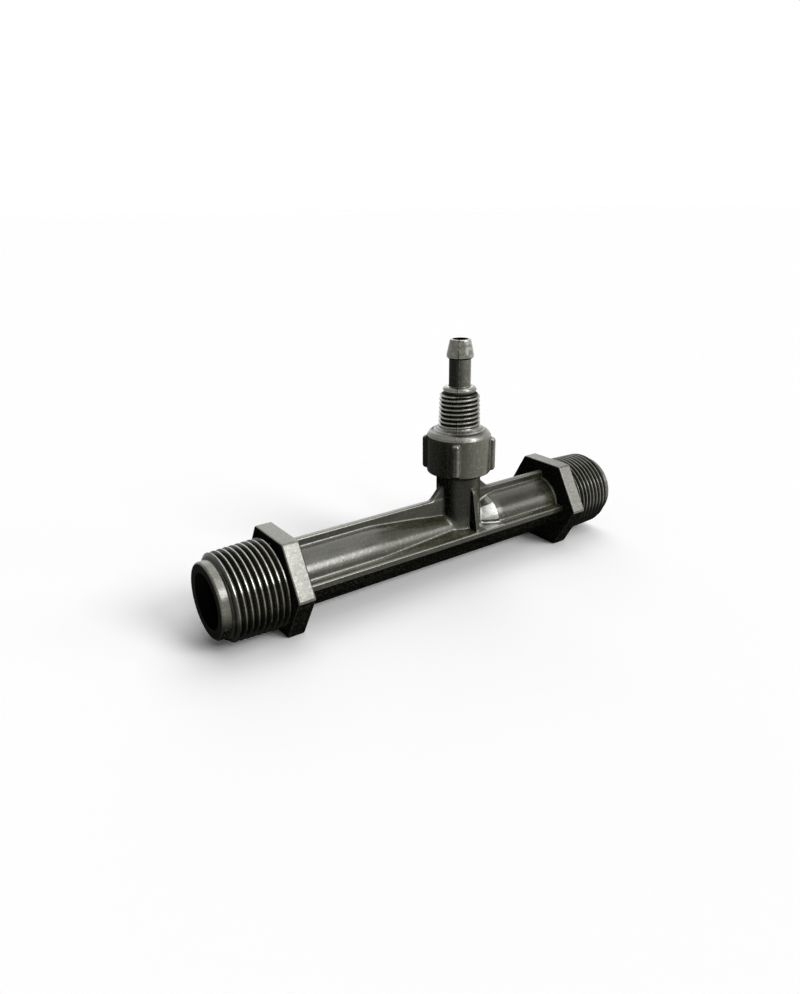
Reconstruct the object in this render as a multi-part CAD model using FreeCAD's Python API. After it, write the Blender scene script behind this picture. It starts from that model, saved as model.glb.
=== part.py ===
import FreeCAD
import Part
import math
import os
from FreeCAD import Vector

# Venturi injector. Water enters at the +X end, speeds up in the nozzle and leaves at the -X end.
# At the throat it draws liquid in through the suction boss, which points up along +Z and is closed
# by a screwed cap with a hose barb over a spring-loaded ball.
# The origin is under the middle of the body, on the plane of the hexagons' lower flats.
# All sizes are in millimetres. Heights on the boss and cap are above the flow axis.

# Hexagons and threaded ends of the body
hex_across_flats = 29.4
hex_thickness = 5.6
hex_span = 102.2
hex_edge_radius = 0.6
spigot_length = 19.65
pilot_radius = 11.2
pilot_length = 2.7
pilot_edge = 0.7
pipe_thread_radius = 13.0
pipe_thread_ramp = 1.0
pipe_thread_pitch = 1.814
pipe_thread_crest = 0.35
pipe_thread_depth = 1.3
pipe_taper = 1 / 32

# Flow passage, from the outlet mouth to the inlet mouth
throat_radius = 3.4
throat_step = 0.4
throat_setback = 0.8
nozzle_land = 1.5
nozzle_run = 20.0
diffuser_run = 35.8
mouth_flare = 2.0
mouth_depth = 3.0

# Barrel between the hexagons
barrel_radius = 8.86
barrel_wall = 2.55
barrel_fillet = 0.9
neck_wall = 1.5
taper_blend = 60.0
shoulder_run = 9.1
shoulder_angle = 45.0
shoulder_radius = 12.5
rib_height = 2.55
rib_thickness = 2.2
rib_edge_radius = 0.6

# Suction boss
suction_offset = 12.75
boss_height = 30.8
boss_wall = 2.95
boss_thread_length = 8.8
boss_thread_chamfer = 0.7
rim_wall = 2.4
outlet_gusset_run = 4.3
inlet_gusset_run = 5.3
side_gusset_thickness = 1.6
side_gusset_foot = 3.8
side_gusset_lean = 10.0
side_gusset_nose = 2.2
gusset_clearance = 3.7
suction_hole_radius = 2.0

# Check valve under the cap
ball_radius = 3.5
ball_clearance = 0.75
ball_lift = 3.0
lift_clearance = 0.4
seat_overlap = 0.4
seat_gap = 0.05
ring_section = 2.62
ring_squeeze = 0.12
ring_clearance = 0.08
spring_radius = 2.65
spring_wire = 0.5
spring_turns = 5.5
spring_closed_turns = 1
spring_coil_gap = 0.05
spring_clearance = 0.15
spring_pocket_depth = 4.0

# Suction cap: socket, skirt and crown
rim_gap = 0.2
thread_clearance = 0.15
socket_depth = 11.3
socket_chamfer = 0.5
cap_wall = 1.95
skirt_height = 12.8
skirt_edge_radius = 0.4
crown_rise = 1.8
crown_edge_radius = 1.3
crown_top_radius = 7.2
lug_count = 4
lug_angle = 44.5
lug_width = 3.0
lug_height = 1.5
lug_length = 10.9
lug_setback = 0.45
lug_edge_radius = 1.0

# Suction cap: port thread, collar, stem and barb
port_thread_radius = 6.4
port_thread_length = 11.2
port_thread_start = 0.3
port_thread_lead = 1.0
port_thread_pitch = 1.411
port_thread_crest = 0.3
port_thread_depth = 0.95
port_groove_radius = 4.9
port_groove_length = 0.45
collar_radius = 5.35
collar_length = 1.3
collar_edge_radius = 1.2
stem_radius = 3.45
stem_length = 8.55
barb_radius = 4.25
barb_back = 0.6
barb_land = 0.8
barb_length = 4.65
barb_tip_radius = 3.25
barb_edge_radius = 0.5
barb_bore_radius = 2.35
lower_bore_radius = 3.3
lower_bore_length = 13.0
bore_funnel = 2.0

# Places that follow from the sizes above
axis_height = hex_across_flats / 2
end_x = hex_span / 2 + hex_thickness + spigot_length
rib_radius = barrel_radius + rib_height
bore_radius = barrel_radius - barrel_wall
nozzle_radius = throat_radius - throat_step
waist_radius = throat_radius + neck_wall
chamber_radius = ball_radius + ball_clearance
boss_radius = chamber_radius + boss_wall
ring_inner_radius = ball_radius - seat_overlap
ring_centre_radius = ring_inner_radius + ring_section / 2
ring_pocket_radius = ring_inner_radius + ring_section + ring_clearance
boss_thread_radius = ring_pocket_radius + rim_wall
socket_radius = boss_thread_radius + thread_clearance
cap_radius = socket_radius + cap_wall

# Heights above the flow axis, from the rim of the boss down and up
ceiling_z = boss_height + rim_gap
ring_height = ring_section * (1 - ring_squeeze)
ring_floor_z = ceiling_z - ring_height
ring_z = ceiling_z - ring_height / 2
ball_reach = ball_radius + ring_section / 2 + seat_gap
ball_z = ring_z - math.sqrt(ball_reach**2 - ring_centre_radius**2)
chamber_floor_z = ball_z - ball_radius - ball_lift - lift_clearance
pocket_floor_z = chamber_floor_z - spring_pocket_depth
spring_reach = ball_radius + spring_wire / 2 + seat_gap
spring_top_z = ball_z - math.sqrt(spring_reach**2 - spring_radius**2)
boss_root_z = -rib_thickness / 4
cap_bottom_z = ceiling_z - socket_depth
gusset_top_z = cap_bottom_z - gusset_clearance
cap_edge_z = cap_bottom_z + skirt_height
cap_shoulder_z = cap_edge_z + crown_rise
port_thread_z = cap_shoulder_z + port_thread_start
port_groove_z = port_thread_z + port_thread_length
collar_z = port_groove_z + port_groove_length
stem_z = collar_z + collar_length
barb_z = stem_z + stem_length
cap_top_z = barb_z + barb_back + barb_land + barb_length

flow_axis = Vector(0, 0, axis_height)
suction_axis = Vector(suction_offset, 0, axis_height)


def corner(before, point, after, radius):
    """The tangent points and the middle of the arc that rounds a corner."""
    to_before = (before - point).normalize()
    to_after = (after - point).normalize()
    half = to_before.getAngle(to_after) / 2
    setback = radius / math.tan(half)
    centre = point + (to_before + to_after).normalize() * (radius / math.sin(half))
    middle = centre + (point - centre).normalize() * radius
    return point + to_before * setback, middle, point + to_after * setback


def outline(points):
    """A closed wire in the XZ plane through (x, z) points; a third value rounds that corner."""
    places = [Vector(p[0], 0, p[1]) for p in points]
    radii = [p[2] if len(p) > 2 else 0 for p in points]
    edges = []
    stops = []
    for i, place in enumerate(places):
        if radii[i] > 0:
            stops.append(corner(places[i - 1], place, places[(i + 1) % len(places)], radii[i]))
        else:
            stops.append((place, None, place))
    for i, (start, middle, end) in enumerate(stops):
        if middle is not None:
            edges.append(Part.Arc(start, middle, end).toShape())
        following = stops[(i + 1) % len(stops)][0]
        if end.distanceToPoint(following) > 1e-6:
            edges.append(Part.LineSegment(end, following).toShape())
    return Part.Wire(edges)


def turned_along_x(points):
    """A solid of revolution about the flow axis. Points are (x from the origin, radius)."""
    solid = Part.Face(outline(points)).revolve(Vector(0, 0, 0), Vector(1, 0, 0), 360)
    solid.translate(flow_axis)
    return solid


def turned_along_z(points):
    """A solid of revolution about the suction axis. Points are (radius, height above the flow axis)."""
    solid = Part.Face(outline(points)).revolve(Vector(0, 0, 0), Vector(0, 0, 1), 360)
    solid.translate(suction_axis)
    return solid


def plate(points, thickness):
    """A flat web of the given thickness, centred on the XZ plane through the suction axis."""
    web = Part.Face(outline(points)).extrude(Vector(0, thickness, 0))
    web.translate(Vector(0, -thickness / 2, 0))
    return web


def hexagon(side):
    """One hexagonal flange, flats up and down, on the outlet side (-1) or the inlet side (+1)."""
    corner_radius = hex_across_flats / math.sqrt(3)
    inner_x = side * hex_span / 2
    points = []
    for i in range(7):
        turn = math.radians(60 * i)
        points.append(Vector(inner_x, corner_radius * math.cos(turn), corner_radius * math.sin(turn)))
    prism = Part.Face(Part.makePolygon(points)).extrude(Vector(side * hex_thickness, 0, 0))
    prism = prism.makeFillet(hex_edge_radius, prism.Edges)
    prism.translate(flow_axis)
    return prism


def ring_thread(run, radius, pitch, crest, depth):
    """A taper thread drawn as rings: points (distance from its small end, radius), crest to crest."""
    points = [(0, radius), (crest, radius + crest * pipe_taper)]
    for i in range(int((run - crest) / pitch)):
        start = (i + 1) * pitch
        end = start + crest
        root = start - (pitch - crest) / 2
        points.append((root, radius + root * pipe_taper - depth))
        points.append((start, radius + start * pipe_taper))
        points.append((end, radius + end * pipe_taper))
    return points


def turned_core():
    """The body's round parts: both threaded spigots, and the barrel with its taper and shoulder."""
    thread_run = spigot_length - pilot_length - pipe_thread_ramp
    thread_x = end_x - pilot_length - pipe_thread_ramp
    rings = ring_thread(
        thread_run, pipe_thread_radius, pipe_thread_pitch, pipe_thread_crest, pipe_thread_depth
    )
    last_crest, last_radius = rings[-1]
    last_root = last_crest + (pipe_thread_pitch - pipe_thread_crest) / 2
    root_radius = last_radius - pipe_thread_depth
    shoulder_drop = barrel_radius - waist_radius
    shoulder_foot = shoulder_run - shoulder_drop / math.tan(math.radians(shoulder_angle))
    inner_x = hex_span / 2
    buried = hex_thickness / 2
    outlet = [
        (-end_x, 0),
        (-end_x, pilot_radius, pilot_edge),
        (-end_x + pilot_length, pilot_radius),
        *[(-thread_x + distance, radius) for distance, radius in rings],
        (-thread_x + last_root, root_radius),
        (-inner_x - buried, root_radius),
    ]
    barrel = [
        (-inner_x - buried / 2, barrel_radius + barrel_fillet),
        (-inner_x, barrel_radius + barrel_fillet),
        (-inner_x, barrel_radius, barrel_fillet),
        (suction_offset - diffuser_run, barrel_radius, taper_blend),
        (suction_offset, waist_radius),
        (suction_offset + shoulder_foot, waist_radius),
        (suction_offset + shoulder_run, barrel_radius, shoulder_radius),
        (inner_x, barrel_radius, barrel_fillet),
        (inner_x, barrel_radius + barrel_fillet),
        (inner_x + buried / 2, barrel_radius + barrel_fillet),
    ]
    inlet = [(-x, radius, *rest) for x, radius, *rest in reversed(outlet)]
    return turned_along_x(outlet + barrel + inlet)


def ribs():
    """Two crossed plates with rounded edges, which stand out of the barrel as its four ribs."""
    half = rib_thickness / 2
    section = outline(
        [
            (-half, -rib_radius, rib_edge_radius),
            (half, -rib_radius, rib_edge_radius),
            (half, rib_radius, rib_edge_radius),
            (-half, rib_radius, rib_edge_radius),
        ]
    )
    face = Part.Face(section)
    face.rotate(Vector(0, 0, 0), Vector(0, 0, 1), 90)
    face.translate(Vector(-hex_span / 2 - hex_thickness / 4, 0, 0))
    upright = face.extrude(Vector(hex_span + hex_thickness / 2, 0, 0))
    level = upright.copy()
    level.rotate(Vector(0, 0, 0), Vector(1, 0, 0), 90)
    for rib in (upright, level):
        rib.translate(flow_axis)
    return [upright, level]


def gussets():
    """The webs that carry the boss: the top rib rises to it, and one stands on each side rib."""
    rise = plate(
        [
            (-boss_radius - outlet_gusset_run, boss_root_z),
            (-boss_radius - outlet_gusset_run, rib_radius),
            (-boss_radius, gusset_top_z),
            (boss_radius, gusset_top_z),
            (boss_radius + inlet_gusset_run, rib_radius),
            (boss_radius + inlet_gusset_run, boss_root_z),
        ],
        rib_thickness,
    )
    lean = math.tan(math.radians(side_gusset_lean))
    foot = boss_radius + side_gusset_foot
    crown = foot - gusset_top_z * lean
    across = plate(
        [
            (-foot, boss_root_z),
            (-crown, gusset_top_z, side_gusset_nose),
            (crown, gusset_top_z, side_gusset_nose),
            (foot, boss_root_z),
        ],
        side_gusset_thickness,
    )
    across.rotate(Vector(0, 0, 0), Vector(0, 0, 1), 90)
    for web in (rise, across):
        web.translate(suction_axis)
    return [rise, across]


def suction_boss():
    """The upright boss, with the plain land of its cap thread at the top."""
    thread_z = boss_height - boss_thread_length
    under = boss_thread_radius - boss_radius
    return turned_along_z(
        [
            (0, boss_root_z),
            (boss_radius, boss_root_z),
            (boss_radius, thread_z - under),
            (boss_thread_radius, thread_z),
            (boss_thread_radius, boss_height - boss_thread_chamfer),
            (boss_thread_radius - boss_thread_chamfer, boss_height),
            (0, boss_height),
        ]
    )


def flow_passage():
    """The hollow from end to end: outlet bore, diffuser, throat, nozzle and inlet bore."""
    throat_x = suction_offset + throat_setback
    return turned_along_x(
        [
            (-end_x, 0),
            (-end_x, bore_radius + mouth_flare),
            (-end_x + mouth_depth, bore_radius),
            (suction_offset - diffuser_run, bore_radius),
            (throat_x, throat_radius),
            (throat_x, nozzle_radius),
            (throat_x + nozzle_land, nozzle_radius),
            (suction_offset + nozzle_run, bore_radius),
            (end_x - mouth_depth, bore_radius),
            (end_x, bore_radius + mouth_flare),
            (end_x, 0),
        ]
    )


def valve_chamber():
    """The hollow in the boss: ring seat, ball chamber, spring pocket and the hole to the throat."""
    pocket_radius = spring_radius + spring_wire / 2 + spring_clearance
    return turned_along_z(
        [
            (0, 0),
            (suction_hole_radius, 0),
            (suction_hole_radius, pocket_floor_z),
            (pocket_radius, pocket_floor_z),
            (pocket_radius, chamber_floor_z),
            (chamber_radius, chamber_floor_z),
            (chamber_radius, ring_floor_z),
            (ring_pocket_radius, ring_floor_z),
            (ring_pocket_radius, boss_height),
            (0, boss_height),
        ]
    )


def injector_body():
    solid = turned_core()
    for piece in [hexagon(-1), hexagon(1)] + ribs() + gussets() + [suction_boss()]:
        solid = solid.fuse(piece)
    for hollow in (flow_passage(), valve_chamber()):
        solid = solid.cut(hollow)
    return solid.removeSplitter()


def grip_lug():
    """One upright lug on the skirt, rounded at its ends and its outer edges."""
    low = cap_bottom_z + lug_setback
    high = low + lug_length
    inside = cap_radius - cap_wall / 2
    outside = cap_radius + lug_height
    profile = outline(
        [(inside, low), (outside, low, lug_edge_radius), (outside, high, lug_edge_radius), (inside, high)]
    )
    lug = Part.Face(profile).extrude(Vector(0, lug_width, 0))
    lug.translate(Vector(0, -lug_width / 2, 0))
    return lug


def cap_outside():
    """Skirt, conical crown, port thread, collar, stem and barb as one turned solid."""
    thread_top = port_groove_z - port_thread_lead
    rings = ring_thread(
        thread_top - port_thread_z,
        port_thread_radius,
        port_thread_pitch,
        port_thread_crest,
        port_thread_depth,
    )
    back = barb_z + barb_back
    cone = back + barb_land
    return turned_along_z(
        [
            (0, cap_bottom_z),
            (cap_radius, cap_bottom_z, skirt_edge_radius),
            (cap_radius, cap_edge_z, crown_edge_radius),
            (crown_top_radius, cap_shoulder_z),
            *[(radius, thread_top - distance) for distance, radius in reversed(rings)],
            (port_groove_radius, port_groove_z),
            (port_groove_radius, collar_z),
            (collar_radius, collar_z),
            (collar_radius, stem_z, collar_edge_radius),
            (stem_radius, stem_z),
            (stem_radius, barb_z),
            (barb_radius, back),
            (barb_radius, cone),
            (barb_tip_radius, cap_top_z, barb_edge_radius),
            (0, cap_top_z),
        ]
    )


def cap_inside():
    """The thread socket below the ceiling, and the bore that runs up through the barb."""
    narrow_z = ceiling_z + lower_bore_length
    return turned_along_z(
        [
            (0, cap_bottom_z),
            (socket_radius + socket_chamfer, cap_bottom_z),
            (socket_radius, cap_bottom_z + socket_chamfer),
            (socket_radius, ceiling_z),
            (lower_bore_radius, ceiling_z),
            (lower_bore_radius, narrow_z),
            (barb_bore_radius, narrow_z + bore_funnel),
            (barb_bore_radius, cap_top_z),
            (0, cap_top_z),
        ]
    )


def suction_cap():
    lugs = []
    for i in range(lug_count):
        lug = grip_lug()
        lug.rotate(Vector(0, 0, 0), Vector(0, 0, 1), lug_angle + 360 / lug_count * i)
        lug.translate(suction_axis)
        lugs.append(lug)
    return cap_outside().fuse(lugs).removeSplitter().cut(cap_inside())


def seat_o_ring():
    """A round section, flattened where the cap presses it into its seat."""
    circle = Part.makeCircle(ring_section / 2, Vector(ring_centre_radius, 0, ring_z), Vector(0, 1, 0))
    section = Part.Face(Part.Wire([circle]))
    squeeze = Part.Face(
        outline(
            [
                (ring_inner_radius - ring_section, ring_floor_z),
                (ring_pocket_radius + ring_section, ring_floor_z),
                (ring_pocket_radius + ring_section, ceiling_z),
                (ring_inner_radius - ring_section, ceiling_z),
            ]
        )
    )
    ring = section.common(squeeze).Faces[0].revolve(Vector(0, 0, 0), Vector(0, 0, 1), 360)
    ring.translate(suction_axis)
    return ring


def check_ball():
    return Part.makeSphere(ball_radius, suction_axis + Vector(0, 0, ball_z))


def half_coil(i, low, rise):
    """Half a turn of spring wire in a plane of its own, tilted so that it climbs by the given rise."""
    side = 1 if i % 2 == 0 else -1
    start = Vector(side * spring_radius, 0, low)
    section = Part.Face(Part.Wire([Part.makeCircle(spring_wire / 2, start, Vector(0, 1, 0))]))
    return section.revolve(Vector(0, 0, low + rise / 2), Vector(side * rise / 2, 0, spring_radius), 180)


def check_spring():
    """A compression spring with closed ends, which stands in its pocket and carries the ball."""
    halves = round(2 * spring_turns)
    closed = round(2 * spring_closed_turns)
    low = pocket_floor_z + spring_wire / 2
    closed_rise = (spring_wire + spring_coil_gap) / 2
    open_rise = (spring_top_z - low - 2 * closed * closed_rise) / (halves - 2 * closed)
    spring = None
    for i in range(halves):
        rise = open_rise if closed <= i < halves - closed else closed_rise
        coil = half_coil(i, low, rise)
        spring = coil if spring is None else spring.fuse(coil)
        low += rise
    spring.translate(suction_axis)
    return spring


def single_solid(shape):
    return shape.Solids[0] if len(shape.Solids) == 1 else shape


parts = {
    "injector_body": injector_body,
    "suction_cap": suction_cap,
    "seat_o_ring": seat_o_ring,
    "check_ball": check_ball,
    "check_spring": check_spring,
}

os.makedirs("parts", exist_ok=True)
for name, build in parts.items():
    shape = single_solid(build())
    shape.exportStep(f"parts/{name}.step")
    box = shape.BoundBox
    print(f"{name}: {shape.ShapeType}, valid {shape.isValid()}, volume {shape.Volume:.0f}")
    print(f"  x {box.XMin:.2f} {box.XMax:.2f}  y {box.YMin:.2f} {box.YMax:.2f}  z {box.ZMin:.2f} {box.ZMax:.2f}")
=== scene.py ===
import math

import bmesh
import bpy
from mathutils import Matrix, Vector


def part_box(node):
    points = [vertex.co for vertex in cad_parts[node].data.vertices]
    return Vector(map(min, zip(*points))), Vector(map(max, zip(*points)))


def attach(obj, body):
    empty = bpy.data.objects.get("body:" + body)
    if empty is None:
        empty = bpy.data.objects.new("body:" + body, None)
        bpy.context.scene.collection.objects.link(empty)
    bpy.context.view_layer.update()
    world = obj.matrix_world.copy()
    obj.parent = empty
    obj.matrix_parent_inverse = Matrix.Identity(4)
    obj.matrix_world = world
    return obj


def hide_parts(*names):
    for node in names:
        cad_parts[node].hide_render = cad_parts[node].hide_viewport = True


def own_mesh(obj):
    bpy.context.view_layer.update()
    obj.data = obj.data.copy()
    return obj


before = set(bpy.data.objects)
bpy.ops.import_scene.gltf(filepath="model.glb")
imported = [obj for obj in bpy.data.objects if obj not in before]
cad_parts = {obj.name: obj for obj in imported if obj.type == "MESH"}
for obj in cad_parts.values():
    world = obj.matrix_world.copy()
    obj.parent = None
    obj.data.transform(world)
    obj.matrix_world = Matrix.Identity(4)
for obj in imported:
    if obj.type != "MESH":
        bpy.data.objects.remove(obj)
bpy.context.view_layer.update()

# Everything below is worked out in millimetres, and the meshes are scaled to metres at the end
mm = 0.001

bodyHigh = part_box("injector_body")[1] / mm
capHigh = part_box("suction_cap")[1] / mm
ballLow, ballHigh = (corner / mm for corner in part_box("check_ball"))
ringLow, ringHigh = (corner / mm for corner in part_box("seat_o_ring"))

endX = bodyHigh.x
suctionX = (ballLow.x + ballHigh.x) / 2
axisZ = 14.7  # the flow axis, half of the size across flats


# Node trees

def pick(sockets, name):
    # A Mix node has several sockets of one name, so the identifier is tried first
    return next((s for s in sockets if s.identifier == name), None) or sockets[name]


class Field:
    # A socket that can be added, multiplied and compared like a number
    def __init__(self, plan, socket):
        self.plan = plan
        self.socket = socket

    def math(self, operation, *others):
        links = dict(enumerate((self,) + others))
        return self.plan.add("ShaderNodeMath", {"operation": operation}, links)

    def out(self, name):
        return Field(self.plan, pick(self.socket.node.outputs, name))

    def __add__(self, other):
        return self.math("ADD", other)

    def __sub__(self, other):
        return self.math("SUBTRACT", other)

    def __rsub__(self, other):
        return (self * -1).math("ADD", other)

    def __mul__(self, other):
        return self.math("MULTIPLY", other)

    def __truediv__(self, other):
        return self.math("DIVIDE", other)

    def __neg__(self):
        return self * -1

    def __abs__(self):
        return self.math("ABSOLUTE")

    __radd__ = __add__
    __rmul__ = __mul__

    def low(self, other):
        return self.math("MINIMUM", other)

    def high(self, other):
        return self.math("MAXIMUM", other)

    def softLow(self, other, blend):
        return self.math("SMOOTH_MIN", other, blend)

    def softHigh(self, other, blend):
        return self.math("SMOOTH_MAX", other, blend)

    def within(self, least, most):
        return self.high(least).low(most)

    def fade(self, start, end):
        # 0 before start, 1 after end, with a soft step between them
        return self.plan.add(
            "ShaderNodeMapRange",
            {"interpolation_type": "SMOOTHSTEP"},
            {"Value": self, "From Min": start, "From Max": end},
        )


class Plan:
    # A node tree that is written down one node at a time
    def __init__(self, tree):
        self.tree = tree

    def add(self, kind, settings=None, links=None):
        # Settings are set first. A link feeds a socket, given by name or number, with a value or a field.
        node = self.tree.nodes.new(kind)
        for name, value in (settings or {}).items():
            setattr(node, name, value)
        for key, value in (links or {}).items():
            socket = node.inputs[key] if isinstance(key, int) else pick(node.inputs, key)
            if isinstance(value, Field):
                self.tree.links.new(value.socket, socket)
            else:
                socket.default_value = value
        return Field(self, node.outputs[0]) if node.outputs else node

    def split(self, vector):
        parts = self.add("ShaderNodeSeparateXYZ", links={0: vector})
        return parts, parts.out("Y"), parts.out("Z")

    def join(self, x, y, z):
        return self.add("ShaderNodeCombineXYZ", links={0: x, 1: y, 2: z})


socketKinds = {
    float: "NodeSocketFloat",
    int: "NodeSocketInt",
    Vector: "NodeSocketVector",
    bpy.types.Material: "NodeSocketMaterial",
}


def geometryPlan(name, sizes, result="Geometry", resultKind="NodeSocketGeometry"):
    # A geometry tree with one named input for each size, and the fields of those inputs
    tree = bpy.data.node_groups.new(name, "GeometryNodeTree")
    for label, value in sizes.items():
        socket = tree.interface.new_socket(name=label, in_out="INPUT", socket_type=socketKinds[type(value)])
        if not isinstance(value, bpy.types.Material):
            socket.default_value = value
    tree.interface.new_socket(name=result, in_out="OUTPUT", socket_type=resultKind)
    plan = Plan(tree)
    source = tree.nodes.new("NodeGroupInput")
    given = {label: Field(plan, source.outputs[label]) for label in sizes}
    return plan, given


def finishPlan(plan, result):
    plan.add("NodeGroupOutput", links={0: result})
    return plan.tree


def grow(name, tree, sizes):
    # Runs a geometry tree with these sizes and keeps its result as a plain mesh
    holder = bpy.data.objects.new(name + "Holder", bpy.data.meshes.new(name + "Holder"))
    bpy.context.scene.collection.objects.link(holder)
    modifier = holder.modifiers.new(name, "NODES")
    modifier.node_group = tree
    for item in tree.interface.items_tree:
        if item.in_out == "INPUT" and item.name in sizes:
            modifier[item.identifier] = sizes[item.name]
    mesh = evaluated(holder)
    bpy.data.objects.remove(holder)
    return mesh


def evaluated(thing):
    scene = bpy.context.evaluated_depsgraph_get()
    scene.update()
    return bpy.data.meshes.new_from_object(thing.evaluated_get(scene))


def place(name, mesh):
    thing = bpy.data.objects.new(name, mesh)
    mesh.name = name
    bpy.context.scene.collection.objects.link(thing)
    return thing


def hypot(a, b):
    return (a * a + b * b).math("SQRT")


def rounded(a, b, radius):
    # Where two walls meet, the corner is rounded with this radius
    a = a + radius
    b = b + radius
    return hypot(a.high(0), b.high(0)) + a.high(b).low(0) - radius


def highest(*fields):
    # Of distances to walls this gives what lies inside them all, and of shares the strongest
    result = fields[0]
    for field in fields[1:]:
        result = result.high(field)
    return result


blankMaterial = bpy.data.materials.new("blank")  # stands in until a finished piece gets its own


# Skins: shapes given by how far a point lies from them, so that every joint gets its fillet

def skinTree(name, sizes, distanceTree, bands):
    # Turns a distance tree into a mesh. Bands are stretches along X with a coarser grid than the rest.
    plan, given = geometryPlan(
        name,
        {**sizes, "lowest": Vector(), "highest": Vector(), "cell": 0.3, "material": blankMaterial},
    )
    lowX, lowY, lowZ = plan.split(given["lowest"])
    highX, highY, highZ = plan.split(given["highest"])

    def distanceAt(point):
        links = {"point": point}
        links.update({label: given[label] for label in sizes})
        return plan.add("GeometryNodeGroup", {"node_tree": distanceTree}, links)

    here = plan.add("GeometryNodeInputPosition")
    s, y, z = plan.split(here)
    x = s
    saved = 0
    for start, end, coarse in bands:
        # the grid's own X runs on at one cell a step, and the true X runs faster in a coarse band
        gridLength = (end - start) / coarse
        x = x + (s - (start - saved)).within(0, gridLength) * (coarse - 1)
        saved += (end - start) - gridLength
    warped = plan.join(x, y, z)
    gridHighX = highX - saved
    cube = plan.add(
        "GeometryNodeVolumeCube",
        links={
            "Density": -distanceAt(warped),
            "Background": -1.0,
            "Min": given["lowest"],
            "Max": plan.join(gridHighX, highY, highZ),
            "Resolution X": (gridHighX - lowX) / given["cell"],
            "Resolution Y": (highY - lowY) / given["cell"],
            "Resolution Z": (highZ - lowZ) / given["cell"],
        },
    )
    mesh = plan.add("GeometryNodeVolumeToMesh", links={"Volume": cube, "Threshold": 0.0, "Adaptivity": 0.0})
    mesh = plan.add("GeometryNodeSetPosition", links={"Geometry": mesh, "Position": warped})
    off = distanceAt(here)
    normal = plan.add("GeometryNodeInputNormal")
    for _ in range(3):  # settles the points on the true surface
        step = plan.add("ShaderNodeVectorMath", {"operation": "SCALE"}, {0: normal, "Scale": -off})
        mesh = plan.add("GeometryNodeSetPosition", links={"Geometry": mesh, "Offset": step})
    mesh = plan.add("GeometryNodeRealizeInstances", links={0: mesh})
    mesh = plan.add("GeometryNodeSetMaterial", links={"Geometry": mesh, "Material": given["material"]})
    return finishPlan(plan, mesh)


# The injector body's skin: barrel, ribs, boss and gussets

barrel = {
    "barrelRadius": 8.86,
    "neckRadius": 4.9,
    "taperRun": 35.8,
    "taperBlend": 0.5,
    "shoulderX": 14.28,
    "shoulderRadius": 12.5,
    "shoulderBlend": 0.6,
    "footRadius": 12.6,
    "ribRadius": 11.41,
    "ribThickness": 2.2,
    "ribEdge": 0.6,
    "ribFillet": 1.3,
    "flangeX": 51.1,
    "flangeFillet": 2.2,
    "bossRadius": 7.2,
    "bossTop": 30.8,
    "bossFillet": 2.2,
    "landRadius": 7.55,
    "landBottom": 22.0,
    "gussetTop": 16.0,
    "outletGussetRun": 4.3,
    "inletGussetRun": 5.3,
    "sideGussetThickness": 1.6,
    "sideGussetFoot": 10.9,
    "sideGussetLean": 10.0,
    "sideGussetNose": 3.0,
    "sideGussetEdge": 0.35,
    "gussetFillet": 1.0,
}


def barrelDistance(sizes):
    plan, g = geometryPlan(
        "barrelDistance", {"point": Vector(), **sizes}, "distance", "NodeSocketFloat"
    )
    x, y, z = plan.split(g["point"])
    along = x - suctionX
    up = z - axisZ
    side = abs(y)
    fromFlow = hypot(y, up)
    fromSuction = hypot(along, y)

    # Barrel: a long taper down to the neck under the boss, then a quick rounded shoulder
    slope = (g["barrelRadius"] - g["neckRadius"]) / g["taperRun"]
    taper = g["barrelRadius"].softLow(g["neckRadius"] - along * slope, g["taperBlend"])
    arcCentre = g["barrelRadius"] - g["shoulderRadius"]
    shoulder = hypot((along - g["shoulderX"]).low(0), fromFlow - arcCentre) - g["shoulderRadius"]
    shape = (fromFlow - taper).softLow(shoulder, g["shoulderBlend"])

    # The foot at each hexagon, whose face lies just inside the hexagon's own
    foot = highest(g["flangeX"] + 0.05 - abs(x), fromFlow - g["footRadius"])
    shape = shape.softLow(foot, g["flangeFillet"])

    # Ribs: an upright and a level plate with rounded edges
    halfRib = g["ribThickness"] / 2
    upright = rounded(side - halfRib, abs(up) - g["ribRadius"], g["ribEdge"])
    level = rounded(abs(up) - halfRib, side - g["ribRadius"], g["ribEdge"])
    nearFoot = abs(x).fade(g["flangeX"] - 2.6, g["flangeX"] - 0.6)
    shape = shape.softLow(upright.low(level), g["ribFillet"] * (1 - nearFoot) + 0.15)

    # Boss, with the thread's core at its top
    stem = highest(fromSuction - g["bossRadius"], up - g["landBottom"], -up - halfRib / 2)
    core = highest(fromSuction - g["landRadius"], up - g["bossTop"], g["landBottom"] - 1 - up)
    shape = shape.softLow(stem, g["bossFillet"])

    # Gussets: one web rises from the top rib, and one stands across it
    def slant(run, away):
        edge = (g["gussetTop"] - g["ribRadius"]).math("ARCTAN2", run)
        return (away - g["bossRadius"]) * edge.math("SINE") + (up - g["gussetTop"]) * edge.math("COSINE")

    web = highest(slant(g["outletGussetRun"], -along), slant(g["inletGussetRun"], along), -up)
    web = rounded(side - halfRib, web, g["ribEdge"])
    lean = g["sideGussetLean"].math("RADIANS")
    edge = (side - g["sideGussetFoot"]) * lean.math("COSINE") + up * lean.math("SINE")
    cross = rounded(edge, up - g["gussetTop"], g["sideGussetNose"])
    cross = rounded(abs(along) - g["sideGussetThickness"] / 2, cross, g["sideGussetEdge"]).high(-up)
    shape = shape.softLow(web, g["gussetFillet"]).softLow(cross, g["gussetFillet"])

    return finishPlan(plan, shape.low(core).high(abs(x) - g["flangeX"] - 0.8))


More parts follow.
